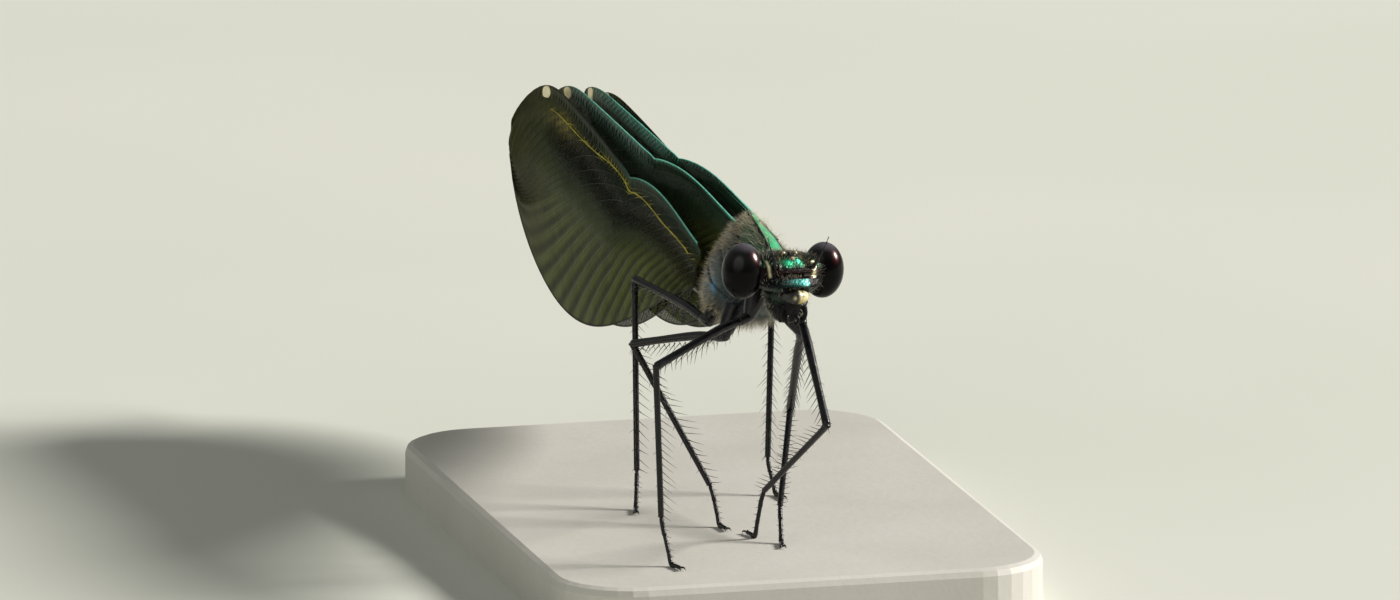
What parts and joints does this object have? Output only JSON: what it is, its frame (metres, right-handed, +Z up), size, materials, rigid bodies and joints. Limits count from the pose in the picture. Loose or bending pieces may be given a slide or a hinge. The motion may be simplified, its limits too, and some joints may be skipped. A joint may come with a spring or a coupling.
{
  "type": "damselfly",
  "caption": "Female broad-winged demoiselle damselfly, standing still with its smoky wings folded, on a plain flat base.",
  "frame": {"origin": "the middle of the whole model's underside, on the underside of the base", "axes": "+Z up, -Y the way the animal faces, so +Y runs along its body to the tail and its right side is at -X"},
  "size_m": [0.022, 0.0482, 0.0166],
  "materials": {
    "metallic_green_cuticle": "metallic green and bronze, glossy",
    "dark_brown_eye": "very glossy, brown-black",
    "cream_lip": "smooth, cream",
    "black_cuticle": "satin black, with fine bristles",
    "smoky_wing": "thin, clear, smoky olive-brown membrane with dark veins",
    "matt_white_base": "matt off-white"
  },
  "bodies": {
    "root": {"head": "metallic_green_cuticle", "prothorax": "metallic_green_cuticle", "synthorax": "metallic_green_cuticle", "abdomen_1": "metallic_green_cuticle", "abdomen_2": "metallic_green_cuticle", "abdomen_3": "metallic_green_cuticle", "abdomen_4": "metallic_green_cuticle", "abdomen_5": "metallic_green_cuticle", "abdomen_6": "metallic_green_cuticle", "abdomen_7": "metallic_green_cuticle", "abdomen_8": "metallic_green_cuticle", "abdomen_9": "metallic_green_cuticle", "abdomen_10": "metallic_green_cuticle", "eye_right": "dark_brown_eye", "eye_left": "dark_brown_eye", "labrum": "cream_lip", "mouthparts": "black_cuticle", "antenna_right": "black_cuticle", "antenna_left": "black_cuticle", "fore_right_coxa": "black_cuticle", "fore_right_femur": "black_cuticle", "fore_right_tibia": "black_cuticle", "fore_right_tarsus": "black_cuticle", "fore_left_coxa": "black_cuticle", "fore_left_femur": "black_cuticle", "fore_left_tibia": "black_cuticle", "fore_left_tarsus": "black_cuticle", "mid_right_coxa": "black_cuticle", "mid_right_femur": "black_cuticle", "mid_right_tibia": "black_cuticle", "mid_right_tarsus": "black_cuticle", "mid_left_coxa": "black_cuticle", "mid_left_femur": "black_cuticle", "mid_left_tibia": "black_cuticle", "mid_left_tarsus": "black_cuticle", "hind_right_coxa": "black_cuticle", "hind_right_femur": "black_cuticle", "hind_right_tibia": "black_cuticle", "hind_right_tarsus": "black_cuticle", "hind_left_coxa": "black_cuticle", "hind_left_femur": "black_cuticle", "hind_left_tibia": "black_cuticle", "hind_left_tarsus": "black_cuticle", "forewing_right": "smoky_wing", "forewing_left": "smoky_wing", "hindwing_right": "smoky_wing", "hindwing_left": "smoky_wing", "stand_base": "matt_white_base"}
  },
  "joints": []
}
